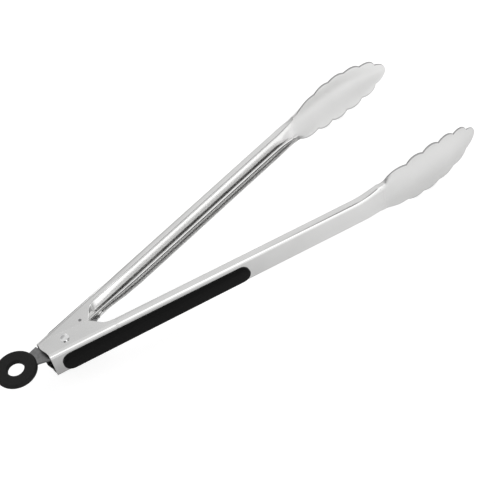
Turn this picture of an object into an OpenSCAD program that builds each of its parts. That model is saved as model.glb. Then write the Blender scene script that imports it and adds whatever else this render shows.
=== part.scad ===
// Spring loaded kitchen tongs, lying on their side with the arms sprung open.
// The pivot pin runs along Z and the scalloped heads point along +X.

/* [Arms] */
// Angle between the two arms at rest
spread = 19.8; // [18:0.1:21]
// Distance from the pivot to the tip of a head
reach = 295; // [288:1:305]
// Distance from the pivot to the back end of an arm
tail = 13; // [12:0.5:14]
// Thickness of the stamped sheet
sheet = 0.8; // [0.7:0.05:0.8]
// Outside width of the outer arm, whose ears lie outside
arm_w = 19.6; // [19:0.1:21]
// Height of the channel's side walls
wall_h = 5.3; // [5:0.1:6]
// Outside radius of the bends between back and side walls
bend_r = 2.6; // [2:0.1:3]
// Pivot to outer face of the lower arm's back
lower_back = 8.5; // [8.5:0.1:9]
// Pivot to outer face of the upper arm's back
upper_back = 12.7; // [12.5:0.1:13]
// Thickness of the folded hem along each side wall
hem_t = 1.6; // [1.2:0.1:1.6]
// Width of the folded hem
hem_w = 2.2; // [1.8:0.1:2.6]

/* [Heads] */
// Width of a head between its side notches
head_w = 36.2; // [34:0.2:38]
// How far the tip curls towards the other arm
tip_curl = 18.2; // [16:0.2:19]
// Flattening of the cup towards its rim
rim_flare = 0.6; // [0.4:0.05:0.7]
// Length of each side lobe along the edge
lobe_pitch = 13.2; // [12:0.1:14]
// How far a lobe stands out between its notches
lobe_rise = 2; // [1:0.1:2.2]

/* [Grips] */
// Length of each grip pad
pad_len = 126; // [120:1:132]
// How far each pad reaches behind the pivot
pad_behind = 7.3; // [6.5:0.1:9]
// Pad width at its back end
pad_w_back = 12.4; // [12:0.1:12.6]
// Pad width at its front end
pad_w_front = 11.4; // [10:0.1:12]
// How far the pad stands off the arm
pad_rise = 2.3; // [1.6:0.1:2.6]

/* [Pivot] */
// Diameter of the rivet's shank
rivet_d = 4; // [3.6:0.1:4.2]
// Diameter of the rivet's heads
rivet_head_d = 5.8; // [5.4:0.1:6.4]
// Wire diameter of the torsion spring
wire_d = 1.4; // [1.2:0.1:1.4]

/* [Lock] */
// Thickness of the sliding lock plate
plate_t = 1.8; // [1.5:0.1:2]
// How far the ring pulls the plate out
pull_travel = 4.5; // [4:0.1:4.5]
// Diameter of the lock pin
lock_pin_d = 1.8; // [1.6:0.1:1.8]
// Outside diameter of the pull ring
ring_d = 26; // [24:0.5:28]
// Diameter of the ring's hanging hole
ring_hole_d = 10.4; // [9.5:0.1:11]
// Thickness of the ring
ring_t = 3.8; // [3.6:0.1:5]

/* [Hidden] */
$fn = 48;

steel = [0.80, 0.80, 0.79];
dark_steel = [0.42, 0.42, 0.44];
black_grip = [0.07, 0.07, 0.08];
black_ring = [0.15, 0.15, 0.16];

outer_half = arm_w / 2;
nest_gap = 0.1;
inner_half = outer_half - sheet - nest_gap;
inner_face = inner_half - sheet;
fit_gap = 0.05;
running_gap = 0.075;

ear_end = 30;
lap = 0.05;
drawn_sheet = sheet - 2 * lap;
head_bend = bend_r - lap;
head_wall = wall_h - 2 * lap;
neck_u = 196;
wide_u = 252;
hem_end_u = 215;
hem_step = 0.8;
neck_rise = 0.8;
cup_start = 200;
cup_end = 243;
curl_start = 216;
curl_power = 2.8;
edge_curl_start = 228;
edge_curl_power = 1.7;
tip_lobe = 10.9;
side_lobes = 4;
first_lobe = 18;
tip_lobe_gain = 0.3;

plate_z = 4.2;
plate_top = plate_z + plate_t / 2;
plate_bottom = plate_z - plate_t / 2;
lock_pin_at = [14.9, 3.1];
ring_at = [-33.4, -0.6];
spacer_r = 3.5;
coil_r = 4.6;
coil_top = plate_bottom - 0.9;
coil_bottom = -inner_face + 0.95;
coil_turns = 6;
leg_reach = 20;
leg_end = 27;

// ---- Plane outlines with rounded corners ----

function unit(v) = v / norm(v);
function turn(v, a) = [v.x * cos(a) - v.y * sin(a), v.x * sin(a) + v.y * cos(a)];
function smooth(t) = let(x = min(1, max(0, t))) x * x * (3 - 2 * x);
function mix(a, b, t) = a + (b - a) * t;

// Arc of radius r that replaces the corner b of the path a, b, c
function corner(a, b, c, r, steps = 8) =
    r == 0 ? [b] :
    let(p = unit(a - b), q = unit(c - b), half = acos(p * q) / 2,
        centre = b + unit(p + q) * r / sin(half),
        from = b + p * r / tan(half) - centre, to = b + q * r / tan(half) - centre,
        start = atan2(from.y, from.x), raw = atan2(to.y, to.x) - start,
        sweep = raw > 180 ? raw - 360 : raw < -180 ? raw + 360 : raw)
    [for (i = [0:steps]) centre + r * [cos(start + sweep * i / steps), sin(start + sweep * i / steps)]];

// Closed outline from corners given as [x, y, radius]
function rounded(path) =
    let(n = len(path), xy = [for (p = path) [p.x, p.y]])
    [for (i = [0:n - 1]) each corner(xy[(i + n - 1) % n], xy[i], xy[(i + 1) % n], path[i].z)];

// ---- Head surface: a lofted sheet that turns the channel into a scalloped cup ----

// Plan outline of one half, as [distance along the arm, half width]; s runs 0 to 1 along
// the flaring neck and 1 to 2 round the end of the head
function rim_base(s, w) =
    s < 1 ? [mix(neck_u, wide_u, s), mix(w, head_w / 2, smooth(s))]
          : [mix(wide_u, reach - lobe_rise, sin(90 * (s - 1))), head_w / 2 * cos(90 * (s - 1))];

// How far the scallops stand out at distance d along the rim from the tip, most near the tip
function scallop(d) =
    let(side = d - tip_lobe, first = side - side_lobes * lobe_pitch,
        gain = 1 + tip_lobe_gain * max(0, 1 - d / (tip_lobe + 2 * lobe_pitch)))
    lobe_rise * gain * (
    d < tip_lobe ? 1 - pow(d / tip_lobe, 2) :
    first < 0 ? 1 - pow(2 * (side % lobe_pitch) / lobe_pitch - 1, 2) :
    first < first_lobe ? 1 - pow(2 * first / first_lobe - 1, 2) : 0);

// Table of [distance from the tip, s] along the plan outline
function rim_table(w) =
    let(n = 160, p = [for (i = [0:n]) rim_base(2 - 2 * i / n, w)])
    [for (i = 0, d = 0; i <= n; d = d + (i < n ? norm(p[i + 1] - p[i]) : 0), i = i + 1) [d, 2 - 2 * i / n]];

// Stations from the neck to the tip, as distances along the rim
function stations(length) =
    let(neck = length - tip_lobe - side_lobes * lobe_pitch - first_lobe, tip_flat = 1.2)
    [for (i = [0:7]) length - neck * i / 8,
     for (i = [0:9]) length - neck - first_lobe * i / 10,
     for (i = [0:side_lobes * 8 - 1]) tip_lobe + lobe_pitch * (side_lobes - i / 8),
     for (i = [0:5]) mix(tip_lobe, tip_flat, i / 5)];

// Fractions across half the sheet, closer together round the bend and at the hem
function columns(w) =
    let(flat = w - head_bend, arc = head_bend * PI / 2, all = flat + arc + head_wall - head_bend)
    [0, flat * 0.4 / all, flat * 0.75 / all, for (i = [0:4]) (flat + arc * i / 4) / all,
     mix((flat + arc) / all, 1, 0.25), mix((flat + arc) / all, 1, 0.7), 1];

// Outer face of the plain channel at fraction t, as [half width, drop below the back]
function channel_at(t, w) =
    let(flat = w - head_bend, arc = head_bend * PI / 2, x = t * (flat + arc + head_wall - head_bend),
        a = (x - flat) / head_bend * 180 / PI)
    x <= flat ? [x, 0] : x <= flat + arc ? [flat + head_bend * sin(a), head_bend * (1 - cos(a))]
                                         : [w, head_bend + x - flat - arc];

// Drops towards the other arm: of the middle of the head, and of its edge before the scallops
function curl(u, from, power) = pow(max(0, (u - from) / (reach - from)), power);
function spine_drop(u) = tip_curl * curl(u, curl_start, curl_power);
function edge_drop(u) =
    head_wall + (tip_curl - wall_h) * curl(u, edge_curl_start, edge_curl_power) +
    (u < hem_end_u ? neck_rise * smooth((u - neck_u) / (hem_end_u - neck_u)) : neck_rise - hem_step);

// Drop of the cupped surface, steepest half way out and flatter at the rim
function cup_drop(u, z, half) =
    let(x = z / half, spine = spine_drop(u))
    spine + (edge_drop(u) - spine) * x * x * (1 + 2 * rim_flare * (1 - x));

// Point of the outer face at rim distance d and fraction t across, t from -1 to 1
function sheet_at(d, t, w, table) =
    let(s = lookup(d, table), base = rim_base(s, w), ahead = rim_base(max(0, s - 0.01), w),
        behind = rim_base(min(2, s + 0.01), w), along = unit(behind - ahead),
        rise = scallop(d), at = abs(t),
        reach_in = s < 1 ? 1 : cos(90 * (s - 1)), share = mix(1, pow(at, 3), reach_in),
        u = base.x - along.y * rise * share, half = base.y + along.x * rise,
        cup = smooth((base.x - cup_start) / (cup_end - cup_start)),
        flat = channel_at(at, w), z = half * mix(flat.x / w, at, cup),
        drop = mix(flat.y / head_wall * edge_drop(base.x), cup_drop(u, z, base.y), cup))
    [u, -drop, sign(t) * z];

// Sheet thickness: doubled where the hem is folded, with the fold's edge rounded off
function gauge(u, i, last) = u > hem_end_u || i < last - 2 ? drawn_sheet : i == last ? sheet : hem_t - 2 * lap;

module head(back, w) {
    table = rim_table(w);
    rows = stations(table[len(table) - 1][0]);
    half = columns(w);
    last = len(half) - 1;
    cols = [for (i = [last:-1:1]) -half[i], each half];
    nr = len(rows);
    nc = len(cols);
    outer = [for (d = rows) [for (t = cols) sheet_at(d, t, w, table)]];
    inner = [for (i = [0:nr - 1]) [for (j = [0:nc - 1])
        let(down = i == 0 ? [1, 0, 0] : outer[min(nr - 1, i + 1)][j] - outer[i - 1][j],
            across = outer[i][min(nc - 1, j + 1)] - outer[i][max(0, j - 1)])
        outer[i][j] + unit(cross(down, across)) * gauge(outer[i][j].x, abs(j - last), last)]];
    ring = [for (i = [0:nr - 1]) each concat(outer[i], [for (j = [nc - 1:-1:0]) inner[i][j]])];
    m = 2 * nc;
    skin = [for (i = [0:nr - 2]) for (j = [0:m - 1])
        let(a = i * m + j, b = i * m + (j + 1) % m)
        each [[a, b + m, b], [a, a + m, b + m]]];
    ends = [for (j = [0:nc - 2])
        let(a = j, b = j + 1, c = m - 2 - j, d = m - 1 - j, e = (nr - 1) * m)
        each [[a, c, d], [a, b, c], [e + a, e + c, e + b], [e + a, e + d, e + c]]];
    translate([0, back, 0]) polyhedron(ring, concat(skin, ends), convexity = 6);
}

// ---- Arms ----

// Cross-section of the channel, with X across the side walls' height and Y across the width
module channel_section(back, w, hemmed) {
    edge = back - wall_h;
    difference() {
        union() {
            translate([edge, -w]) square([wall_h - bend_r, 2 * w]);
            translate([edge, bend_r - w]) square([wall_h, 2 * (w - bend_r)]);
            for (side = [-1, 1]) translate([back - bend_r, side * (w - bend_r)]) circle(bend_r);
        }
        translate([edge - 1, sheet - w]) square([wall_h - bend_r + 1, 2 * (w - sheet)]);
        translate([edge - 1, bend_r - w]) square([wall_h + 1 - sheet, 2 * (w - bend_r)]);
        for (side = [-1, 1]) translate([back - bend_r, side * (w - bend_r)]) circle(bend_r - sheet);
    }
    if (hemmed)
        for (side = [-1, 1]) translate([edge + hem_t / 2, side * (w - hem_t / 2)]) {
            circle(hem_t / 2);
            translate([0, -hem_t / 2]) square([hem_w - hem_t / 2, hem_t]);
        }
}

module channel_run(from, to, back, w, hemmed) {
    translate([from, 0, 0]) rotate([90, 0, 90]) linear_extrude(to - from) channel_section(back, w, hemmed);
}

// The two ears, one on each side wall
module ears(outline, w) {
    for (z = [-w, w - sheet]) translate([0, 0, z]) linear_extrude(sheet) polygon(rounded(outline));
}

module arm(back, w, ear_outline) {
    channel_run(-tail, ear_end, back, w, false);
    channel_run(ear_end, neck_u + 0.6, back, w, true);
    head(back - lap, w - lap);
    ears(ear_outline, w);
}

// Height of the side wall's free edge above the pivot line
lower_edge = lower_back - wall_h;
upper_edge = upper_back - wall_h;

lower_ear = [[-tail - 0.2, lower_back - bend_r, 0], [-tail - 1, 2.5, 6], [-tail, -5.8, 4.5], [17, -4.4, 3],
             [25.6, lower_edge, 9], [ear_end, lower_edge, 0], [ear_end, lower_back - bend_r, 0]];
upper_ear = [[-tail - 0.2, upper_back - bend_r, 0], [-tail - 1.2, 7, 6], [-tail - 0.8, -1.2, 3], [-1, -5.9, 4],
             [12.8, -5.7, 3], [26.8, upper_edge, 9], [ear_end, upper_edge, 0], [ear_end, upper_back - bend_r, 0]];

// ---- Placing: the pieces are drawn about the pivot and moved to the frame's origin ----

function arm_to_world(p, side) = let(q = turn([p.x, p.y], spread / 2)) [q.x, side * q.y, p.z];
function head_points(back, w, side) =
    let(table = rim_table(w), rows = stations(table[len(table) - 1][0]), half = columns(w))
    [for (d = rows) for (t = half) arm_to_world(sheet_at(d, t, w, table) + [0, back, 0], side)];

lower_points = head_points(lower_back - lap, outer_half - lap, -1);
upper_points = head_points(upper_back - lap, inner_half - lap, 1);
ring_centre = turn(ring_at, -spread / 2);
x_max = max([for (p = concat(lower_points, upper_points)) p.x]);
x_min = ring_centre.x - ring_d / 2;
y_max = max([for (p = upper_points) p.y]);
y_min = min([for (p = lower_points) p.y]);
z_low = -max([for (p = concat(lower_points, upper_points)) p.z]);
origin = [(x_min + x_max) / 2, (y_min + y_max) / 2, z_low];

module about_pivot() {
    translate(-origin) children();
}

// Local X runs along the arm and local Y away from the other arm
module on_lower_arm() {
    about_pivot() mirror([0, 1, 0]) rotate([0, 0, spread / 2]) children();
}

module on_upper_arm() {
    about_pivot() rotate([0, 0, spread / 2]) children();
}

// Local X runs along the lower arm and local Y towards the upper arm
module on_slide() {
    about_pivot() rotate([0, 0, -spread / 2]) children();
}

module pin_hole(at, d) {
    translate([at.x, at.y, -arm_w]) cylinder(h = 2 * arm_w, d = d);
}

module lower_arm() {
    color(steel) on_lower_arm() difference() {
        arm(lower_back, outer_half, lower_ear);
        pin_hole([0, 0], rivet_d);
    }
}

module upper_arm() {
    color(steel) on_upper_arm() difference() {
        arm(upper_back, inner_half, upper_ear);
        pin_hole([0, 0], rivet_d + 2 * running_gap);
        pin_hole(lock_pin_at, lock_pin_d);
    }
}

// ---- Grips: long domed pads on the backs of the arms ----

module pad_outline(inset) {
    r_back = pad_w_back / 2;
    r_front = pad_w_front / 2;
    hull() {
        translate([r_back - pad_behind, 0]) circle(r_back - inset);
        translate([pad_len - pad_behind - r_front, 0]) circle(r_front - inset);
    }
}

module grip(back) {
    foot = 0.9;
    edge_inset = 1.8;
    color(black_grip) translate([0, back, 0]) rotate([-90, 0, 0]) hull()
        for (a = [0:30:90])
            linear_extrude(mix(foot, pad_rise, sin(a))) pad_outline(edge_inset * (1 - cos(a)));
}

module lower_grip() { on_lower_arm() grip(lower_back); }
module upper_grip() { on_upper_arm() grip(upper_back); }

// ---- Pivot: one rivet through both pairs of ears, two spacers and the torsion spring ----

module pivot_rivet() {
    head_r = rivet_head_d / 2;
    dome = 1.2;
    rim = 0.35;
    color(steel) about_pivot() {
        cylinder(h = 2 * outer_half, d = rivet_d, center = true);
        for (side = [0, 1]) mirror([0, 0, side]) translate([0, 0, outer_half]) rotate_extrude()
            polygon([[0, -0.2], [rivet_d / 2, -0.2], [rivet_d / 2, 0], [head_r, 0], [head_r, rim],
                     for (a = [10:10:90]) [head_r * cos(a), rim + (dome - rim) * sin(a)]]);
    }
}

module spacer(from, to) {
    color(steel) about_pivot() translate([0, 0, from]) difference() {
        cylinder(h = to - from, r = spacer_r);
        translate([0, 0, -1]) cylinder(h = to - from + 2, d = rivet_d + 2 * running_gap);
    }
}

module long_spacer() { spacer(fit_gap - inner_face, plate_bottom - fit_gap); }
module short_spacer() { spacer(plate_top + fit_gap, inner_face - fit_gap); }

// Wire tangent from the coil out to a leg that lies along one arm's inner face.
// Returns [tangent angle, knee, end] in the plane of the arms.
function leg(back, side) =
    let(lie = back - sheet - wire_d / 2 - 0.1, knee = [leg_reach, lie],
        a = atan2(knee.y, knee.x) + acos(coil_r / norm(knee)), half = spread / 2)
    [side * (a + half), [for (p = [knee, [leg_end, lie]]) let(q = turn(p, half)) [q.x, side * q.y]]];

function spring_path() =
    let(top = leg(upper_back, 1), low = leg(lower_back, -1), sweep = 360 * coil_turns + 360 + low[0] - top[0],
        steps = ceil(sweep / 24))
    [[top[1][1].x, top[1][1].y, coil_top], [top[1][0].x, top[1][0].y, coil_top],
     for (i = [0:steps]) let(a = top[0] + sweep * i / steps)
        [coil_r * cos(a), coil_r * sin(a), mix(coil_top, coil_bottom, i / steps)],
     [low[1][0].x, low[1][0].y, coil_bottom], [low[1][1].x, low[1][1].y, coil_bottom]];

// Round wire swept along a path that never runs parallel to Z
module wire(path, d, sides = 8) {
    n = len(path);
    rings = [for (i = [0:n - 1])
        let(dir = unit(unit(path[min(n - 1, i + 1)] - path[max(0, i - 1)])),
            side = unit(cross([0, 0, 1], dir)), up = cross(dir, side))
        for (k = [0:sides - 1]) path[i] + d / 2 * (side * cos(360 * k / sides) + up * sin(360 * k / sides))];
    skin = [for (i = [0:n - 2]) for (k = [0:sides - 1])
        let(a = i * sides + k, b = i * sides + (k + 1) % sides)
        each [[a, b + sides, b], [a, a + sides, b + sides]]];
    caps = [[for (k = [0:sides - 1]) k], [for (k = [sides - 1:-1:0]) (n - 1) * sides + k]];
    polyhedron(rings, concat(skin, caps), convexity = 10);
}

module torsion_spring() {
    color(steel) about_pivot() wire(spring_path(), wire_d);
}

// ---- Lock: a hooked plate that slides on the rivet, the pin it catches and the pull ring ----

lock_clear = 0.12;
pin_r = lock_pin_d / 2;
pin_open = turn(lock_pin_at, spread);
closed_angle = 3.3;
pin_closed = turn(lock_pin_at, closed_angle);
hook_under = pin_closed.y + pin_r + lock_clear;
hook_over = pin_open.y - pin_r - lock_clear;
hook_tip = pin_closed.x + pin_r + 0.2;
hook_root = pin_closed.x + pull_travel + pin_r + 0.15;
hook_front = hook_root + 1.6;
throat = pin_closed.y - pin_r - lock_clear;
shoulder = -16.9;
plate_outline = [[-27, -3.2, 1.5], [-22, -3.8, 8], [-14, -5.4, 8], [-8, -6.4, 6], [8, -6.4, 6], [13, -3.4, 5],
                 [hook_front, -3.2, 1.5], [hook_front, hook_over, 1.2], [hook_tip, hook_over, 0.9],
                 [hook_tip, hook_under, 0.3], [hook_root, hook_under, 0.8], [hook_root, throat, 0.8],
                 [11.4, throat, 1.5], [10.4, 6.6, 2], [-14, 6.6, 4],
                 [shoulder, 6.2, 0.3], [shoulder, 8, 0.6], [-22, 6, 8], [-27, 4.4, 1.5]];

module lock_plate() {
    slot_w = rivet_d + 2 * running_gap;
    color(dark_steel) on_slide() translate([0, 0, plate_bottom]) difference() {
        linear_extrude(plate_t) polygon(rounded(plate_outline));
        translate([0, 0, -1]) {
            cylinder(h = plate_t + 2, d = slot_w);
            translate([pull_travel, 0, 0]) cylinder(h = plate_t + 2, d = slot_w);
            translate([0, -slot_w / 2, 0]) cube([pull_travel, slot_w, plate_t + 2]);
        }
    }
}

module lock_pin() {
    color(steel) on_upper_arm() translate([lock_pin_at.x, lock_pin_at.y, -inner_half])
        cylinder(h = 2 * inner_half, d = lock_pin_d);
}

module pull_ring() {
    r_in = ring_hole_d / 2;
    r_out = ring_d / 2;
    h = ring_t / 2;
    color(black_ring) on_slide() difference() {
        translate([ring_at.x, ring_at.y, plate_z]) rotate_extrude($fn = 96)
            polygon(rounded([[r_in, -h, 0.9], [r_out, -h, 1.6], [r_out, h, 1.6], [r_in, h, 0.9]]));
        translate([0, 0, plate_bottom]) linear_extrude(plate_t) polygon(rounded(plate_outline));
    }
}

lower_arm();
upper_arm();
lower_grip();
upper_grip();
pivot_rivet();
long_spacer();
short_spacer();
torsion_spring();
lock_plate();
lock_pin();
pull_ring();
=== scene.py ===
"""Spring loaded kitchen tongs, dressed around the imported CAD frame.

Lengths inside the shape functions are millimetres from the pivot, in an arm's own axes: u along
the arm, v away from the other arm, z along the rivet. Everything is placed in metres.
"""
import math
from collections import namedtuple
import bpy
import numpy as np
from mathutils import Matrix, Vector


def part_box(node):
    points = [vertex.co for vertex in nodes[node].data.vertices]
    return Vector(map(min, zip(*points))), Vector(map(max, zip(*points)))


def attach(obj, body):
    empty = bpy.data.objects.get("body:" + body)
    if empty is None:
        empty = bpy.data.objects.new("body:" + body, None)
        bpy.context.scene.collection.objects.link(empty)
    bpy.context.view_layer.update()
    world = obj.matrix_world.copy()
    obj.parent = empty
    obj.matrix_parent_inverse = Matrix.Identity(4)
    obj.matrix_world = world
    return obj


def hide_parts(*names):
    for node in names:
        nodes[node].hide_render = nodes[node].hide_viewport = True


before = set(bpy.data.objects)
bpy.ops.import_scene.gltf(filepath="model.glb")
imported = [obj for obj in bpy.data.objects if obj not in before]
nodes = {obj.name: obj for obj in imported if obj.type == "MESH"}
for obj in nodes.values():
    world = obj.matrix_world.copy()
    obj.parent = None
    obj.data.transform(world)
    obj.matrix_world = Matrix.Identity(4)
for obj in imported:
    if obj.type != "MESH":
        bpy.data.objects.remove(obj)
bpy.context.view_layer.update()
MM = 0.001
rivet_low, rivet_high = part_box("pivot_rivet")
PIVOT = (rivet_low + rivet_high) / 2


def heading(azimuth, elevation):
    """Direction at an azimuth, from +y towards +x, and an elevation, both in degrees."""
    a, e = math.radians(azimuth), math.radians(elevation)
    return Vector((math.sin(a) * math.cos(e), math.cos(a) * math.cos(e), math.sin(e)))


# ---- Camera -------------------------------------------------------------------------

# fitted to the arms' edges, the heads' notches, the rivet and the ring
LENS, SENSOR, CLIP_END = 88.92, 36, 10
CAMERA_FROM_PIVOT = Vector((-0.1037, -0.44675, 0.58357))
CAMERA_AZIMUTH, CAMERA_ELEVATION, CAMERA_ROLL = 27.83, -50.22, -12.55


def make_camera():
    data = bpy.data.cameras.new("camera")
    data.sensor_fit = "HORIZONTAL"
    data.sensor_width = SENSOR
    data.lens = LENS
    data.clip_end = CLIP_END
    camera = bpy.data.objects.new("camera", data)
    bpy.context.scene.collection.objects.link(camera)
    level = heading(CAMERA_AZIMUTH, CAMERA_ELEVATION).to_track_quat("-Z", "Y").to_matrix()
    turn = level @ Matrix.Rotation(math.radians(CAMERA_ROLL), 3, "Z")
    camera.matrix_world = Matrix.Translation(PIVOT + CAMERA_FROM_PIVOT) @ turn.to_4x4()
    bpy.context.scene.camera = camera


make_camera()

# ---- Shape of the arms, as the CAD model has it ---------------------------------------

# angle between the arms, and half of it in radians
SPREAD = 19.8
LEAN = math.radians(SPREAD / 2)
SHEET = 0.8
# half the width over the walls, and how far out the web lies, of the lower and the upper arm
OUTER_HALF, INNER_HALF = 9.8, 8.9
LOWER_BACK, UPPER_BACK = 8.5, 12.7
WALL_H, BEND_R = 5.3, 2.6
# the hem folded in along the rim: its whole thickness, its width, and where it ends
HEM_T, HEM_W, HEM_END = 1.6, 2.2, 215.0
# places along the arm: the tail behind the pivot, then the ears' end, neck, widest place and tip
TAIL, EAR_END, NECK, WIDE, REACH = 13.0, 30.0, 196.0, 252.0, 294.8
# the head's width, how far its tip curls in, and how much its cup flares at the rim
HEAD_W, TIP_CURL, RIM_FLARE = 36.2, 17.9, 0.6
# where the spine and the edge start to curl, and by which power of the distance
CURL, EDGE_CURL = (216.0, 2.8), (228.0, 1.7)
# where the channel starts to turn into the head's cup, and where it has
CUP_START, CUP_END = 200.0, 243.0
# the rim drops this much at the neck and steps back this much where the hem ends
NECK_DROP, HEM_STEP = 0.8, 0.8
# the head's face lies this much lower than the channel's, from this far before the neck, over a length
LAP, LAP_BEFORE, LAP_LEN = 0.05, 10, 12
# scallops: pitch and rise of an even lobe, half the tip's lobe, how many even ones are on a side, the
# long one next to the neck, and how much taller they get towards the tip
LOBE_PITCH, LOBE_RISE, TIP_LOBE, SIDE_LOBES, FIRST_LOBE, TIP_GAIN = 13.2, 2.0, 10.9, 4, 18.0, 0.3
# the lock pin's place in the upper arm, and the holes in the ears
LOCK_PIN, PIN_HOLE_R = (14.9, 3.1), 0.95
RIVET_R, TURN_GAP = 2.0, 0.075
# how the finished channel differs from the plain one: its web is crowned by this much, its web and
# its rims stand this much further out along v, and its walls this much further apart along z. All
# but the crown come in from one place along the arm to another, and are gone where the hem ends.
Form = namedtuple("Form", "crown web rim wider start full")
LOWER_FORM = Form(crown=0.35, web=0.8, rim=0.0, wider=0.0, start=-30.0, full=-20.0)
UPPER_FORM = Form(crown=0.4, web=-0.1, rim=-1.6, wider=1.1, start=33.0, full=62.0)


def smooth(t):
    x = np.clip(t, 0, 1)
    return x * x * (3 - 2 * x)


def mix(a, b, t):
    return a + (b - a) * t


def formed(form, u):
    """How much of the form the channel has at u, from 0 to 1."""
    come = smooth((u - form.start) / (form.full - form.start))
    gone = smooth((u - NECK) / (HEM_END - NECK))
    return come * (1 - gone)


def cupping(u):
    """How far the channel has turned into the head's cup at u, from 0 to 1."""
    return smooth((u - CUP_START) / (CUP_END - CUP_START))


def rim_base(s, w):
    """Plan outline through the notches: s from 0 to 1 on the neck, 1 to 2 round the end."""
    turn = np.clip(s - 1, 0, 1) * math.pi / 2
    u = np.where(s < 1, mix(NECK, WIDE, s), WIDE + (REACH - LOBE_RISE - WIDE) * np.sin(turn))
    return u, np.where(s < 1, mix(w, HEAD_W / 2, smooth(s)), HEAD_W / 2 * np.cos(turn))


def scallop(d):
    """How far the edge stands out beyond the notches at distance d along it from the tip."""
    side = d - TIP_LOBE
    first = side - SIDE_LOBES * LOBE_PITCH
    gain = 1 + TIP_GAIN * np.clip(1 - d / (TIP_LOBE + 2 * LOBE_PITCH), 0, 1)
    lobe = np.where(d < TIP_LOBE, 1 - (d / TIP_LOBE) ** 2,
                    np.where(first < 0, 1 - (2 * (side % LOBE_PITCH) / LOBE_PITCH - 1) ** 2,
                             np.where(first < FIRST_LOBE, 1 - (2 * first / FIRST_LOBE - 1) ** 2, 0)))
    return LOBE_RISE * gain * lobe


def curl(u, start, power):
    """How far along its curl the sheet is at u, from 0 at the start to 1 at the tip."""
    return np.clip((u - start) / (REACH - start), 0, None) ** power


def edge_drop(u):
    """How far the rim lies below the web."""
    neck = np.where(u < HEM_END, NECK_DROP * smooth((u - NECK) / (HEM_END - NECK)), NECK_DROP - HEM_STEP)
    return WALL_H + neck + (TIP_CURL - WALL_H) * curl(u, *EDGE_CURL)


class Sheet:
    """Outer face of one arm's sheet. Its row is u up to the neck, then distance along the rim."""

    SAMPLES, PLAN_STEP = 801, 0.01
    # steps for the normal, which isn't taken nearer the tip than this
    ROW_STEP, ACROSS_STEP, TIP_CLEAR = 0.05, 0.0025, 1.5
    # least half widths, to divide by
    LEAST_BASE, LEAST_WIDTH = 0.05, 0.4

    def __init__(self, back, w, form):
        self.back, self.w, self.form = back, w, form
        self.s = np.linspace(2, 0, self.SAMPLES)
        u, z = rim_base(self.s, w)
        self.d = np.concatenate([[0], np.cumsum(np.hypot(np.diff(u), np.diff(z)))])
        self.length = self.d[-1]
        self.flat, self.arc = w - BEND_R, BEND_R * math.pi / 2
        self.half_len = self.flat + self.arc + WALL_H - BEND_R

    def width(self, row):
        """Length of half the section, to turn a distance from the rim into a fraction."""
        s = np.interp(NECK + self.length - row, self.d, self.s)
        base_u, base_z = rim_base(s, self.w)
        cup = cupping(base_u)
        return mix(self.half_len, np.maximum(base_z, self.LEAST_WIDTH), cup)

    def plan_heading(self, s):
        """Direction of the plan outline at s, towards the tip."""
        near = rim_base(np.clip(s - self.PLAN_STEP, 0, 2), self.w)
        far = rim_base(np.clip(s + self.PLAN_STEP, 0, 2), self.w)
        along_u, along_z = far[0] - near[0], far[1] - near[1]
        size = np.hypot(along_u, along_z)
        return along_u / size, along_z / size

    def section(self, x, share):
        """Distance along z and drop from the web at x along the channel's section from its middle, where
        the channel has this share of its form."""
        angle = np.clip((x - self.flat) / BEND_R, 0, math.pi / 2)
        z = np.where(x < self.flat, x, self.flat + BEND_R * np.sin(angle))
        drop = BEND_R * (1 - np.cos(angle)) + np.clip(x - self.flat - self.arc, 0, None)
        past = np.clip((x - self.flat) / (self.half_len - self.flat), 0, 1)
        drop = drop + self.form.crown * np.where(x < self.flat, (x / self.flat) ** 2, 1 - past)
        drop = drop + (self.form.web - self.form.rim) * share * past
        return z + self.form.wider * share * np.clip(x / self.flat, 0, 1), drop

    def at(self, row, t):
        """Point of a row at t across it, from -1 at one rim to 1 at the other."""
        d = np.minimum(NECK + self.length - row, self.length)
        s = np.interp(d, self.d, self.s)
        base_u, base_z = rim_base(s, self.w)
        base_u = np.where(row < NECK, row, base_u)
        along_u, along_z = self.plan_heading(s)
        rise = np.where(row < NECK, 0, scallop(d))
        side = np.abs(t)
        # towards the tip, more and more of the lobes' rise reaches the middle of the sheet
        pushed = 1 + (side ** 3 - 1) * np.where(s < 1, 1, np.cos((s - 1) * math.pi / 2))
        u = base_u - along_z * rise * pushed
        half = base_z + along_u * rise
        share = formed(self.form, base_u)
        flat_z, flat_drop = self.section(side * self.half_len, share)
        cup = cupping(base_u)
        z = half * mix(flat_z / self.w, side, cup)
        spine, out = TIP_CURL * curl(u, *CURL), z / np.maximum(base_z, self.LEAST_BASE)
        cupped = spine + (edge_drop(u) - spine) * out * out * (1 + 2 * RIM_FLARE * (1 - out))
        drop = mix(flat_drop / WALL_H * edge_drop(base_u), cupped, cup)
        lap = LAP * smooth((row - NECK + LAP_BEFORE) / LAP_LEN)
        return np.stack([u, self.back + self.form.web * share - lap - drop, np.sign(t) * z], -1)

    def normal(self, row, t):
        """Outward direction of the face at a place, of length 1."""
        row = np.minimum(row, NECK + self.length - self.TIP_CLEAR)
        along = self.at(row + self.ROW_STEP, t) - self.at(row - self.ROW_STEP, t)
        across = self.at(row, t + self.ACROSS_STEP) - self.at(row, t - self.ACROSS_STEP)
        n = np.cross(across, along)
        return n / np.maximum(np.linalg.norm(n, axis=-1, keepdims=True), 1e-9)


# ---- Mesh helpers ---------------------------------------------------------------------


def arm_matrix(side):
    """Arm axes in millimetres to the frame in metres; side is 1 for the upper arm, -1 for the lower."""
    cos, sin = math.cos(LEAN), math.sin(LEAN)
    axes = Matrix(((cos, -sin, 0, 0), (side * sin, side * cos, 0, 0), (0, 0, 1, 0), (0, 0, 0, 1)))
    return Matrix.Translation(PIVOT) @ axes @ Matrix.Scale(MM, 4)


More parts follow.
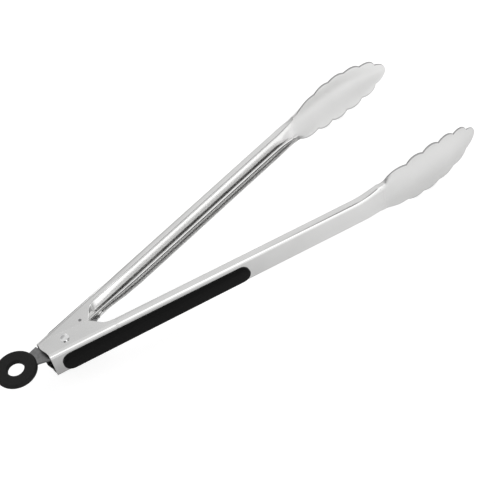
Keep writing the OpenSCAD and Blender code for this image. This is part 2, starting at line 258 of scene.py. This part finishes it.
# millimetres from the pivot to the frame, and the same turned so that x is the way the lock slides
AT_PIVOT = Matrix.Translation(PIVOT) @ Matrix.Scale(MM, 4)
SLIDE = Matrix.Translation(PIVOT) @ Matrix.Rotation(-LEAN, 4, "Z") @ Matrix.Scale(MM, 4)


def lay_uv(mesh, points):
    """UV in metres, one pair per vertex, that the materials' grain follows."""
    layer = mesh.uv_layers.new(name="sheet")
    index = np.zeros(len(mesh.loops), int)
    mesh.loops.foreach_get("vertex_index", index)
    layer.data.foreach_set("uv", np.asarray(points, float)[index].ravel())


def shown(name, mesh, sharp):
    """An object of the mesh, smooth but for the edges sharper than so many degrees."""
    mesh.polygons.foreach_set("use_smooth", [True] * len(mesh.polygons))
    mesh.set_sharp_from_angle(angle=math.radians(sharp))
    obj = bpy.data.objects.new(name, mesh)
    bpy.context.scene.collection.objects.link(obj)
    return obj


def new_object(name, verts, faces, matrix, uv=None, sharp=35):
    """A mesh placed by the matrix, with outward faces."""
    mesh = bpy.data.meshes.new(name)
    mesh.from_pydata([matrix @ Vector(v) for v in verts], [], faces)
    if matrix.determinant() < 0:
        mesh.flip_normals()
    mesh.update()
    if uv is not None:
        lay_uv(mesh, uv)
    return shown(name, mesh, sharp)


def tube_faces(rings, size):
    """Quads between rings of points, each ring closed on itself, and a face over each end."""
    faces = []
    for i in range(rings - 1):
        for j in range(size):
            a, b = i * size + j, i * size + (j + 1) % size
            faces.append((a, b, b + size, a + size))
    faces.append(tuple(reversed(range(size))))
    faces.append(tuple(range((rings - 1) * size, rings * size)))
    return faces


def joined(parts):
    """The first of the objects, with the others joined to it."""
    bpy.ops.object.select_all(action="DESELECT")
    for p in parts:
        p.select_set(True)
    bpy.context.view_layer.objects.active = parts[0]
    bpy.ops.object.join()
    return parts[0]


def corner(a, b, c, r, steps=10):
    """Arc of radius r in place of the corner b of the path a, b, c."""
    if r == 0:
        return [b]
    a, b, c = np.array(a), np.array(b), np.array(c)
    p, q = (a - b) / np.linalg.norm(a - b), (c - b) / np.linalg.norm(c - b)
    half = math.acos(float(np.dot(p, q))) / 2
    mid = (p + q) / np.linalg.norm(p + q)
    centre = b + mid * r / math.sin(half)
    start, end = b + p * r / math.tan(half) - centre, b + q * r / math.tan(half) - centre
    first = math.atan2(start[1], start[0])
    sweep = (math.atan2(end[1], end[0]) - first + math.pi) % (2 * math.pi) - math.pi
    turns = [first + sweep * i / steps for i in range(steps + 1)]
    return [centre + r * np.array((math.cos(turn), math.sin(turn))) for turn in turns]


def rounded(path):
    """Closed outline from corners given as (x, y, radius)."""
    n, out = len(path), []
    for i in range(n):
        out += corner(path[i - 1][:2], path[i][:2], path[(i + 1) % n][:2], path[i][2])
    return out


def circle(x, y, r):
    steps = 40
    angles = [2 * math.pi * i / steps for i in range(steps)]
    return [(x + r * math.cos(a), y + r * math.sin(a)) for a in angles]


def plate(name, outline, holes, low, thick, matrix, edge=0.1):
    """Flat plate with rounded edges, cut from an outline with holes."""
    curve = bpy.data.curves.new(name, "CURVE")
    curve.dimensions = "2D"
    curve.fill_mode = "BOTH"
    curve.extrude = thick / 2 - edge
    curve.bevel_depth = edge
    curve.bevel_resolution = 2
    curve.offset = -edge
    for loop in [outline] + holes:
        spline = curve.splines.new("POLY")
        spline.points.add(len(loop) - 1)
        for point, (x, y) in zip(spline.points, loop):
            point.co = (x, y, 0, 1)
        spline.use_cyclic_u = True
    obj = bpy.data.objects.new(name, curve)
    bpy.context.scene.collection.objects.link(obj)
    bpy.context.view_layer.update()
    mesh = bpy.data.meshes.new_from_object(obj.evaluated_get(bpy.context.evaluated_depsgraph_get()))
    bpy.data.objects.remove(obj)
    places_mm = np.zeros(len(mesh.vertices) * 3)
    mesh.vertices.foreach_get("co", places_mm)
    lay_uv(mesh, places_mm.reshape(-1, 3)[:, :2] * MM)
    mesh.transform(matrix @ Matrix.Translation((0, 0, low + thick / 2)))
    if matrix.determinant() < 0:
        mesh.flip_normals()
    return shown(name, mesh, 40)


# ---- Arms -----------------------------------------------------------------------------

# where the rim lies in the grain's own map of the sheet, across it
RIM_AT = 14.0
# the bevel on the sheet's cut end
CUT_BEVEL = 0.12
# how far in from the rim its round is over; then, of the hem's inner edge, the width of its bevel,
# the share of the fold's thickness that the bevel leaves, and the edge's slant
ROUND_END, FOLD_BEVEL, FOLD_LEFT, FOLD_SLANT = 1.5, 0.12, 0.85, 0.02
# in a narrow section, the rim's points lie in by no more than this share of half of it, and by so
# much more of it for each millimetre that they lie in elsewhere
RIM_SHARE, RIM_SHARE_MORE = 0.3, 0.02
# steps across half the web, round the bend and round the rim
WEB_STEPS, BEND_STEPS, RIM_POINTS = 6, 10, 9
# rows in the channel: close together up to here and wide apart beyond it
CLOSE_TO, CLOSE, APART = 50, 2.0, 12.0
REAR_ROWS, NECK_ROWS, FIRST_ROWS, LOBE_ROWS, TIP_ROWS = 12, 24, 20, 16, 14
# how far the ears lie inside the walls' faces, so that no two faces share a plane
EAR_INSIDE = 0.01


def half_profile(sheet, hemmed):
    """Half a section, from the middle of the outer face round the rim to the middle of the inner one.

    A point is (fraction across or None, distance from the rim, depth in sheets, depth in hem folds).
    A distance up to 1 is in halves of the thickness there, and a longer one in millimetres.
    """
    flat, arc, whole = sheet.flat, sheet.arc, sheet.half_len
    main = [flat * k / WEB_STEPS / whole for k in range(WEB_STEPS)]
    main += [(flat + arc * k / BEND_STEPS) / whole for k in range(BEND_STEPS + 1)]
    points = [(t, 0, 0, 0) for t in main]
    if hemmed:
        points += [(None, HEM_W, 0, 0), (None, ROUND_END, 0, 0)]
        points += [(None, 1 - math.sin(a), (1 - math.cos(a)) / 2, (1 - math.cos(a)) / 2)
                   for a in np.linspace(0, math.pi, RIM_POINTS)]
        points += [(None, ROUND_END, 1, 1), (None, HEM_W - FOLD_BEVEL, 1, 1), (None, HEM_W, 1, FOLD_LEFT),
                   (None, HEM_W + FOLD_SLANT, 1, 0)]
    else:
        points += [(None, HEM_W, 0, 0), (None, HEM_W, 1, 0)]
    return points + [(t, 0, 1, 0) for t in reversed(main)]


def shell(name, sheet, rows, matrix, hemmed):
    """The arm's sheet over the given rows, with its hem if it has one."""
    rows = np.asarray(rows, float)
    fold = np.where(rows < HEM_END, HEM_T - SHEET, 0)
    width = sheet.width(rows)
    ts, depths = [], []
    for t, edge, sheets, folds in half_profile(sheet, hemmed):
        inset = edge * (SHEET + fold) / 2 if edge <= 1 else edge
        most = RIM_SHARE + RIM_SHARE_MORE * edge
        ts.append(1 - np.minimum(inset / width, most) if t is None else np.full(len(rows), t))
        depths.append(SHEET * sheets + fold * folds)
    ts, depths = np.array(ts).T, np.array(depths).T
    # the mirrored half runs from the middle of the inner face back to the middle of the outer one
    ts = np.concatenate([ts[:, :-1], -ts[:, :0:-1]], 1)
    depths = np.concatenate([depths[:, :-1], depths[:, :0:-1]], 1)
    depths[0] = np.clip(depths[0], CUT_BEVEL, SHEET - CUT_BEVEL)
    grid = np.repeat(rows[:, None], ts.shape[1], 1)
    points = sheet.at(grid, ts) - sheet.normal(grid, ts) * depths[..., None]
    from_rim = (1 - np.abs(ts)) * sheet.half_len
    uv = np.stack([grid, np.sign(ts) * (RIM_AT - from_rim)], -1) * MM
    faces = tube_faces(len(rows), ts.shape[1])
    return new_object(name, points.reshape(-1, 3).tolist(), faces, matrix, uv.reshape(-1, 2), 40)


def front_rows(sheet):
    """Rows from the ears to the tip, the closest ones round the lobes."""
    plain = sheet.length - TIP_LOBE - SIDE_LOBES * LOBE_PITCH - FIRST_LOBE
    rows = [EAR_END] + list(np.arange(EAR_END + CLOSE, CLOSE_TO, CLOSE))
    rows += list(np.arange(CLOSE_TO + CLOSE, NECK, APART))
    rows += list(np.linspace(NECK, NECK + plain, NECK_ROWS + 1)[:-1])
    rows += [NECK + plain + FIRST_LOBE * i / FIRST_ROWS for i in range(FIRST_ROWS)]
    side, tip = NECK + plain + FIRST_LOBE, NECK + sheet.length
    rows += [side + LOBE_PITCH * i / LOBE_ROWS for i in range(SIDE_LOBES * LOBE_ROWS)]
    rows += [mix(tip - TIP_LOBE, tip - CUT_BEVEL, math.sin(math.pi / 2 * i / (TIP_ROWS - 1)))
             for i in range(TIP_ROWS)]
    return rows


def ears(name, outline, w, holes, matrix):
    """The two ears of an arm, which carry its walls on past the pivot."""
    return [plate(name + ".ear", rounded(outline), holes, z, SHEET, matrix)
            for z in (-w + EAR_INSIDE, w - SHEET - EAR_INSIDE)]


def arm(name, side, sheet, outline, holes, body):
    matrix = arm_matrix(side)
    rear_rows = [-TAIL, -TAIL + CUT_BEVEL] + list(np.linspace(-TAIL + 2, EAR_END, REAR_ROWS))
    front = shell(name, sheet, front_rows(sheet), matrix, True)
    rear = shell(name + ".rear", sheet, rear_rows, matrix, False)
    obj = joined([front, rear] + ears(name, outline, sheet.w, holes, matrix))
    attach(obj, body)
    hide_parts(body + "_arm")
    return obj


def ear_top(back):
    """Where an ear's straight top lies, just below the bend."""
    return back - BEND_R - 0.15


def ear_front(edge, back):
    """The ear's front corners; it runs on a little way inside the channel's wall."""
    return [(EAR_END, edge, 0), (EAR_END + 1, edge + 1.2, 0), (EAR_END + 3, edge + 1.2, 0),
            (EAR_END + 3, ear_top(back), 0)]


lower_edge, upper_edge = LOWER_BACK - WALL_H, UPPER_BACK - WALL_H
lower_ear = [(-TAIL - 0.2, ear_top(LOWER_BACK), 0), (-TAIL - 1, 2.5, 6), (-TAIL, -5.8, 4.5),
             (17, -4.4, 3), (25.6, lower_edge, 9), *ear_front(lower_edge, LOWER_BACK)]
upper_ear = [(-TAIL - 0.2, ear_top(UPPER_BACK), 0), (-TAIL - 1.2, 7, 6), (-TAIL - 0.8, -1.2, 3),
             (-1, -5.9, 4), (12.8, -5.7, 3), (26.8, upper_edge, 9), *ear_front(upper_edge, UPPER_BACK)]
lower_holes = [circle(0, 0, RIVET_R)]
upper_holes = [circle(0, 0, RIVET_R + TURN_GAP), circle(*LOCK_PIN, PIN_HOLE_R)]
lower_sheet = Sheet(LOWER_BACK, OUTER_HALF, LOWER_FORM)
upper_sheet = Sheet(UPPER_BACK, INNER_HALF, UPPER_FORM)
lower_arm = arm("arm.lower", -1, lower_sheet, lower_ear, lower_holes, "lower")
upper_arm = arm("arm.upper", 1, upper_sheet, upper_ear, upper_holes, "upper")

# ---- Grips ----------------------------------------------------------------------------

# length, reach behind the pivot, and radius of the rear and the front end
PAD_LEN, PAD_BEHIND, PAD_BACK, PAD_FRONT = 126.0, 7.3, 6.2, 5.7
# depth of the edge sunk into the web, heights of the straight side's top and of the round shoulder's
# foot and top over the web, and how far in the shoulder's top lies
PAD_SUNK, PAD_SIDE, PAD_FOOT, PAD_TOP, PAD_INSET = 0.45, 0.4, 0.9, 2.18, 1.8
# height in the middle, and the dome over the shoulder as (distance in, distance below that)
PAD_RISE, PAD_DOME = 2.3, ((2.7, 0.06), (3.8, 0.02), (5.0, 0.0))
PAD_ROUND, SHOULDER_ROUND = 24, 12
# how far along the rivet each pad lies off the arm's middle
LOWER_OFF, UPPER_OFF = -0.6, -0.8


def grip(name, side, back, form, off_centre, body):
    """Domed pad: rings of the tapered outline, drawn in and raised along a rounded shoulder."""
    first, last = PAD_BACK - PAD_BEHIND, PAD_LEN - PAD_BEHIND - PAD_FRONT
    taper = math.asin((PAD_BACK - PAD_FRONT) / (last - first))
    ends = ((first, PAD_BACK, math.pi / 2 - taper, 3 * math.pi / 2 + taper),
            (last, PAD_FRONT, -math.pi / 2 + taper, math.pi / 2 - taper))
    shoulder = [(0, -PAD_SUNK), (0, PAD_SIDE)]
    shoulder += [(PAD_INSET * (1 - math.cos(a)), mix(PAD_FOOT, PAD_TOP, math.sin(a)))
                 for a in np.linspace(0, math.pi / 2, SHOULDER_ROUND)]
    shoulder += [(inset, PAD_RISE - below) for inset, below in PAD_DOME]
    verts, uv = [], []
    for inset, lift in shoulder:
        ring = []
        for centre, r, start, end in ends:
            angles = [mix(start, end, i / PAD_ROUND) for i in range(PAD_ROUND + 1)]
            ring += [(centre + (r - inset) * math.cos(a), (r - inset) * math.sin(a)) for a in angles]
        verts += [(x, back + form.web * formed(form, x) + lift, y + off_centre) for x, y in ring]
        uv += [(x * MM, y * MM) for x, y in ring]
    faces = tube_faces(len(shoulder), 2 * (PAD_ROUND + 1))
    obj = new_object(name, verts, faces, arm_matrix(side), uv, 50)
    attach(obj, body)
    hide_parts(body + "_grip")
    return obj


lower_grip = grip("grip.lower", -1, LOWER_BACK, LOWER_FORM, LOWER_OFF, "lower")
upper_grip = grip("grip.upper", 1, UPPER_BACK, UPPER_FORM, UPPER_OFF, "upper")

# ---- Torsion spring ---------------------------------------------------------------------

WIRE_D, WIRE_SIDES = 1.4, 16
# the coil's radius to the wire's middle, its two ends along the rivet, and its whole turns
COIL_R, COIL_TOP, COIL_BOTTOM, COIL_TURNS, COIL_STEPS = 4.6, 2.4, -7.15, 6, 260
# a leg lies this far inside the web, from one place along the arm to another, with a bend before it
LEG_GAP, LEG_REACH, LEG_END, LEG_BEND = 0.1, 20, 27, 1.5
# the upper leg is a little thinner, and carries on inside the first turn over this many steps
LEG_THINNER, LEG_INSIDE = 0.02, 5


def leg(back, side):
    """Angle at which the wire leaves the coil, and the two points of its straight leg."""
    lie = back - SHEET - WIRE_D / 2 - LEG_GAP
    a = math.atan2(lie, LEG_REACH) + math.acos(COIL_R / math.hypot(LEG_REACH, lie))
    cos, sin = math.cos(LEAN), math.sin(LEAN)
    points = [Vector((x * cos - lie * sin, side * (x * sin + lie * cos))) for x in (LEG_REACH, LEG_END)]
    return side * (a + LEAN), points


def wire(name, path, d, body):
    """Round wire along a path that never runs parallel to Z."""
    verts = []
    for i, p in enumerate(path):
        before, after = Vector(path[max(i - 1, 0)]), Vector(path[min(i + 1, len(path) - 1)])
        ahead = (after - before).normalized()
        across = Vector((0, 0, 1)).cross(ahead).normalized()
        up = ahead.cross(across)
        for k in range(WIRE_SIDES):
            a = 2 * math.pi * k / WIRE_SIDES
            verts.append(Vector(p) + d / 2 * (across * math.cos(a) + up * math.sin(a)))
    obj = new_object(name, verts, tube_faces(len(path), WIRE_SIDES), AT_PIVOT)
    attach(obj, body)
    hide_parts("torsion_spring")
    return obj


def bent(points):
    """The path with its inner corners rounded, all at one height."""
    out = [points[0]]
    for a, b, c in zip(points, points[1:], points[2:]):
        out += [(x, y, b[2]) for x, y in corner(a[:2], b[:2], c[:2], LEG_BEND, 6)]
    return out + [points[-1]]


def spring():
    top_a, top = leg(UPPER_BACK, 1)
    low_a, low = leg(LOWER_BACK, -1)
    sweep = 2 * math.pi * (COIL_TURNS + 1) + low_a - top_a
    coil = []
    for i in range(COIL_STEPS + 1):
        a, height = top_a + sweep * i / COIL_STEPS, mix(COIL_TOP, COIL_BOTTOM, i / COIL_STEPS)
        coil.append((COIL_R * math.cos(a), COIL_R * math.sin(a), height))
    tail = bent([coil[-1], (*low[0], COIL_BOTTOM), (*low[1], COIL_BOTTOM)])
    lead = bent([(*top[1], COIL_TOP), (*top[0], COIL_TOP), coil[0]])
    return [wire("spring.coil", coil + tail[1:], WIRE_D, "lower"),
            wire("spring.upper_leg", lead + coil[1:1 + LEG_INSIDE], WIRE_D - LEG_THINNER, "upper")]


springs = spring()

# ---- Lock plate -------------------------------------------------------------------------

# the plate's thickness, the middle's height along the rivet, its rounded edge and its travel
PLATE_T, PLATE_Z, PLATE_EDGE, TRAVEL = 1.8, 4.2, 0.15, 4.5
SLOT_POINTS = 20
# the pin, the hook's clearance round it, and the angle between the arms at which the hook takes it
PIN_R, PIN_CLEAR, SHUT = 0.9, 0.12, 3.3


def turned(x, y, degrees):
    a = math.radians(degrees)
    return x * math.cos(a) - y * math.sin(a), x * math.sin(a) + y * math.cos(a)


def lock_plate():
    open_y = turned(*LOCK_PIN, SPREAD)[1]
    shut_x, shut_y = turned(*LOCK_PIN, SHUT)
    under, over = shut_y + PIN_R + PIN_CLEAR, open_y - PIN_R - PIN_CLEAR
    tip, root, throat = shut_x + PIN_R + 0.2, shut_x + TRAVEL + PIN_R + 0.15, shut_y - PIN_R - PIN_CLEAR
    front, shoulder = root + 1.6, -16.9
    outline = [(-27, -3.2, 1.5), (-22, -3.8, 8), (-14, -5.4, 8), (-8, -6.4, 6), (8, -6.4, 6),
               (13, -3.4, 5), (front, -3.2, 1.5), (front, over, 1.2), (tip, over, 0.9), (tip, under, 0.3),
               (root, under, 0.8), (root, throat, 0.8), (11.4, throat, 1.5), (10.4, 6.6, 2),
               (-14, 6.6, 4), (shoulder, 6.2, 0.3), (shoulder, 8, 0.6), (-22, 6, 8), (-27, 4.4, 1.5)]
    r = RIVET_R + TURN_GAP
    slot = [(TRAVEL + r * math.cos(a), r * math.sin(a))
            for a in np.linspace(-math.pi / 2, math.pi / 2, SLOT_POINTS)]
    slot += [(r * math.cos(a), r * math.sin(a))
             for a in np.linspace(math.pi / 2, 3 * math.pi / 2, SLOT_POINTS)]
    obj = plate("lock.plate", rounded(outline), [slot], PLATE_Z - PLATE_T / 2, PLATE_T, SLIDE, PLATE_EDGE)
    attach(obj, "pull")
    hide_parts("lock_plate")
    return obj


plate_obj = lock_plate()

# ---- Node helpers -----------------------------------------------------------------------


def add(tree, kind, values=None, **settings):
    """A node with its settings and inputs; an input given as a socket is linked."""
    node = tree.nodes.new("ShaderNode" + kind)
    for key, value in settings.items():
        setattr(node, key, value)
    for key, value in (values or {}).items():
        if isinstance(value, bpy.types.NodeSocket):
            tree.links.new(value, node.inputs[key])
        else:
            node.inputs[key].default_value = value
    return node


def maths(tree, operation, a, b=0.0):
    return add(tree, "Math", {0: a, 1: b}, operation=operation).outputs[0]


def mixed(tree, factor, a, b):
    return add(tree, "Mix", {"Factor": factor, "A": a, "B": b}).outputs[0]


def spread(tree, value, low, high, start=0.0, end=1.0, kind="LINEAR"):
    """The value taken from low..high to start..end."""
    return add(tree, "MapRange", {"Value": value, "From Min": low, "From Max": high, "To Min": start,
                                  "To Max": end}, interpolation_type=kind).outputs["Result"]


def eased(tree, value, low, high, start=0.0, end=1.0):
    """The same with a soft start and end."""
    return spread(tree, value, low, high, start, end, "SMOOTHSTEP")


def noise(tree, where, scale, detail=3.0, rough=0.5):
    return add(tree, "TexNoise", {"Vector": where, "Scale": scale, "Detail": detail,
                                  "Roughness": rough}).outputs["Fac"]


def ranged(tree, fleck, low, high):
    """A noise taken to low..high, most of it lying between 0.3 and 0.7."""
    return spread(tree, fleck, 0.3, 0.7, low, high)


def grey(tree, value, tint=(1, 1, 1)):
    """A grey level as a colour, with a slight tint."""
    return add(tree, "CombineColor", {"Red": maths(tree, "MULTIPLY", value, tint[0]),
                                      "Green": maths(tree, "MULTIPLY", value, tint[1]),
                                      "Blue": maths(tree, "MULTIPLY", value, tint[2])}).outputs[0]


def bump(tree, height, distance, strength, normal=None):
    values = {"Height": height, "Distance": distance, "Strength": strength}
    if normal is not None:
        values["Normal"] = normal
    return add(tree, "Bump", values).outputs[0]


def material(name, metallic=0.0, specular=0.5):
    """A principled material, its node tree and its shader."""
    made = bpy.data.materials.new(name)
    made.use_nodes = True
    shader = made.node_tree.nodes["Principled BSDF"]
    shader.inputs["Metallic"].default_value = metallic
    shader.inputs["Specular IOR Level"].default_value = specular
    return made, made.node_tree, shader


def feed(tree, shader, color, rough, normal):
    for key, socket in (("Base Color", color), ("Roughness", rough), ("Normal", normal)):
        tree.links.new(socket, shader.inputs[key])


def places(tree, kind="Object"):
    return add(tree, "TexCoord").outputs[kind]


def stretched(tree, where, along, across):
    """The place with its first axis and its others scaled apart, for grain along the first."""
    return add(tree, "Mapping", {"Vector": where, "Scale": (along, across, across)}).outputs[0]


def dress(made, *objects):
    for obj in objects:
        obj.data.materials.clear()
        obj.data.materials.append(made)


# ---- Materials --------------------------------------------------------------------------

# where the brushed finish turns to the blasted one, and over how much either way
MATTE_START, MATTE_BLUR = 0.217, 0.005
# painted shade along the rim: the blasted head's colour is painted darker between these distances from
# its rim, in millimetres, down to this share
RIM_SHADE_IN, RIM_SHADE_OUT, RIM_DARK = 0.9, 0.4, 0.5


def arm_steel():
    """Satin steel brushed along the arm, turning to a blasted finish on the head, whose colour is painted
    darker towards its rim as painted shade.
    """
    made, tree, shader = material("arm_steel", metallic=1.0)
    sheet = places(tree, "UV")
    at = add(tree, "SeparateXYZ", {0: sheet}).outputs
    matte = eased(tree, at["X"], MATTE_START - MATTE_BLUR, MATTE_START + MATTE_BLUR)
    from_middle = maths(tree, "ABSOLUTE", at["Y"])
    # painted shade: the head's colour darkens towards its rim, standing in for the dark line along its
    # edge
    rim_painted_shade = eased(tree, from_middle, (RIM_AT - RIM_SHADE_IN) * MM, (RIM_AT - RIM_SHADE_OUT) * MM, 1, RIM_DARK)
    grain = noise(tree, stretched(tree, sheet, 14, 5200), 1, 2.0)
    blotch = noise(tree, sheet, 42, 3.0)
    pits = noise(tree, places(tree), 4200, 2.0)
    brushed_rough = spread(tree, maths(tree, "ADD", grain, blotch), 0.7, 1.3, 0.13, 0.18)
    rough = mixed(tree, matte, brushed_rough, ranged(tree, pits, 0.40, 0.47))
    # the blasted finish's own tone, times the painted shade at the rim
    matte_shade = maths(tree, "MULTIPLY", rim_painted_shade, ranged(tree, blotch, 0.73, 0.76))
    shade = mixed(tree, matte, ranged(tree, blotch, 0.74, 0.79), matte_shade)
    lines = bump(tree, grain, 0.000002, 0.3)
    feed(tree, shader,
         color=grey(tree, shade, (1, 0.998, 0.992)),
         rough=rough,
         normal=bump(tree, mixed(tree, matte, 0.5, pits), 0.000006, 0.3, lines))
    return made


def bright_steel():
    """Turned and headed steel, bright with faint wear."""
    made, tree, shader = material("bright_steel", metallic=1.0)
    where = places(tree)
    wear = noise(tree, where, 600, 3.0)
    feed(tree, shader,
         color=grey(tree, ranged(tree, wear, 0.74, 0.84)),
         rough=ranged(tree, wear, 0.07, 0.14),
         normal=bump(tree, noise(tree, where, 1500, 2.0), 0.00001, 0.4))
    return made


def spring_steel():
    """Drawn wire with a faint grey oil film."""
    made, tree, shader = material("spring_steel", metallic=1.0)
    where = places(tree)
    film = noise(tree, where, 260, 4.0)
    feed(tree, shader,
         color=grey(tree, ranged(tree, film, 0.50, 0.62), (1, 0.99, 0.96)),
         rough=ranged(tree, film, 0.2, 0.32),
         normal=bump(tree, noise(tree, where, 2600, 2.0), 0.00001, 0.4))
    return made


def plate_steel():
    """Pressed sheet with a dull tumbled face."""
    made, tree, shader = material("plate_steel", metallic=1.0)
    where = places(tree)
    dull = noise(tree, where, 500, 4.0, 0.6)
    feed(tree, shader,
         color=grey(tree, ranged(tree, dull, 0.19, 0.28), (1, 1, 1.01)),
         rough=ranged(tree, dull, 0.3, 0.42),
         normal=bump(tree, noise(tree, where, 2400, 3.0), 0.00002, 0.5))
    return made


def grip_rubber():
    """Moulded rubber with a fine pebbled skin."""
    made, tree, shader = material("grip_rubber", specular=0.13)
    where = places(tree)
    pebbles = add(tree, "TexVoronoi", {"Vector": where, "Scale": 1500.0}).outputs["Distance"]
    soft = noise(tree, where, 700, 4.0, 0.6)
    feed(tree, shader,
         color=grey(tree, ranged(tree, soft, 0.002, 0.006)),
         rough=ranged(tree, soft, 0.5, 0.66),
         normal=bump(tree, maths(tree, "ADD", pebbles, soft), 0.00004, 0.5))
    return made


def ring_plastic():
    """Moulded plastic with a spark-eroded texture."""
    made, tree, shader = material("ring_plastic", specular=0.2)
    skin = noise(tree, places(tree), 900, 4.0, 0.6)
    feed(tree, shader,
         color=grey(tree, ranged(tree, skin, 0.007, 0.013)),
         rough=ranged(tree, skin, 0.42, 0.56),
         normal=bump(tree, skin, 0.00004, 0.5))
    return made


dress(arm_steel(), lower_arm, upper_arm)
dress(bright_steel(), *(nodes[n] for n in ("pivot_rivet", "long_spacer", "short_spacer")))
dress(spring_steel(), *springs)
dress(plate_steel(), plate_obj, nodes["lock_pin"])
dress(grip_rubber(), lower_grip, upper_grip)
dress(ring_plastic(), nodes["pull_ring"])

# ---- Stage --------------------------------------------------------------------------------

FLOOR_HALF, FLOOR_SHADE, FLOOR_CAMERA = 3.0, 0.5, 0.75
# painted reflection: how brightly the floor glows in the steel's reflections only, brighter or darker by
# place, its dark parts standing in for shade: between the arms, between the heads, under the upper arm
# and beyond it, beside the lower arm from its rear to its front, then what is added far away
REFLECTION_BETWEEN, REFLECTION_AHEAD, REFLECTION_UNDER = 0.15, 0.78, 1.28
REFLECTION_REAR, REFLECTION_FRONT, REFLECTION_FAR = 0.25, 0.52, 0.4
# from where to where, in metres, one painted reflection level turns into the next: along x beside the
# lower arm, towards the heads and at the start of the upper arm; along y between the lower arm and the
# other levels; and away from the middle
BESIDE_X, AHEAD_X, UNDER_X = (-0.08, 0.07), (0.06, 0.12), (-0.09, -0.082)
BETWEEN_Y, FAR_AWAY = (-0.04, -0.015), (0.14, 0.45)
# the painted reflection under the upper arm starts this far inside the arm's own axis, with a soft edge
UNDER_INSIDE, UNDER_BLUR = 0.009, 0.002
# the room, and the soft boxes and dark flags round it: azimuth, elevation, half angle of the even
# core and of the edge, and brightness, each over the ones before
ROOM = 0.85
PANELS = ((163, 48, 18, 27, 1.5), (166, 20, 10, 17, 1.25), (137, 22, 9, 15, 1.1), (127, 57, 14, 18, 0.05),
          (107, 30, 12, 17, 0.08), (145, 33, 10, 14, 1.2), (-6, 34, 10, 27, 0.5), (224, 36, 20, 28, 0.05))


def painted_reflection_level(tree, where):
    """Brightness of the painted reflection at each place on the floor."""
    at = add(tree, "SeparateXYZ", {0: where}).outputs
    away = add(tree, "VectorMath", {0: where}, operation="LENGTH").outputs["Value"]
    beside = eased(tree, at["X"], *BESIDE_X, REFLECTION_REAR, REFLECTION_FRONT)
    between = eased(tree, at["X"], *AHEAD_X, REFLECTION_BETWEEN, REFLECTION_AHEAD)
    reflected = eased(tree, at["Y"], *BETWEEN_Y, beside, between)
    across_arm = (-math.sin(LEAN), math.cos(LEAN), 0)
    off_arm = add(tree, "VectorMath", {0: where, 1: across_arm}, operation="DOT_PRODUCT").outputs["Value"]
    edge = -PIVOT.x * math.sin(LEAN) - UNDER_INSIDE
    under = eased(tree, at["X"], *UNDER_X, 0, REFLECTION_UNDER)
    under = eased(tree, at["X"], *AHEAD_X, under, REFLECTION_AHEAD)
    reflected = eased(tree, off_arm, edge - UNDER_BLUR, edge + UNDER_BLUR, reflected, under)
    return maths(tree, "ADD", reflected, eased(tree, away, *FAR_AWAY, 0, REFLECTION_FAR))


def make_floor():
    """Pale to the camera, matt for the object's shadow, and glowing in reflections only with a painted
    reflection whose darker parts stand in for shade.
    """
    mesh = bpy.data.meshes.new("floor")
    corners = [(x * FLOOR_HALF, y * FLOOR_HALF, 0) for x, y in ((-1, -1), (1, -1), (1, 1), (-1, 1))]
    mesh.from_pydata(corners, [], [(0, 1, 2, 3)])
    obj = bpy.data.objects.new("floor", mesh)
    bpy.context.scene.collection.objects.link(obj)
    made = bpy.data.materials.new("floor")
    made.use_nodes = True
    tree = made.node_tree
    tree.nodes.clear()
    path = add(tree, "LightPath").outputs
    # painted reflection: glossy rays see the floor glow at the painted levels
    glow = maths(tree, "ADD", maths(tree, "MULTIPLY", path["Is Camera Ray"], FLOOR_CAMERA),
                 maths(tree, "MULTIPLY", path["Is Glossy Ray"], painted_reflection_level(tree, places(tree))))
    matt = add(tree, "BsdfDiffuse", {"Color": (FLOOR_SHADE, FLOOR_SHADE, FLOOR_SHADE, 1)}).outputs[0]
    light = add(tree, "Emission", {"Strength": glow}).outputs[0]
    both = add(tree, "AddShader", {0: matt, 1: light}).outputs[0]
    add(tree, "OutputMaterial", {"Surface": both})
    obj.data.materials.append(made)


def make_world():
    """White to the camera; an even room with soft boxes and dark flags for everything else."""
    world = bpy.data.worlds.new("studio")
    bpy.context.scene.world = world
    world.use_nodes = True
    tree = world.node_tree
    path = add(tree, "LightPath").outputs
    where = places(tree, "Generated")
    level = ROOM
    for azimuth, elevation, core, edge, shine in PANELS:
        toward = {0: where, 1: heading(azimuth, elevation)}
        near = add(tree, "VectorMath", toward, operation="DOT_PRODUCT").outputs["Value"]
        outer, inner = math.cos(math.radians(edge)), math.cos(math.radians(core))
        level = eased(tree, near, outer, inner, level, shine)
    seen = maths(tree, "MAXIMUM", path["Is Camera Ray"], path["Is Transmission Ray"])
    background = tree.nodes["Background"].inputs
    background["Color"].default_value = (1, 1, 1, 1)
    tree.links.new(mixed(tree, seen, level, 1.0), background["Strength"])


make_floor()
make_world()

bpy.context.scene.view_settings.view_transform = "Standard"
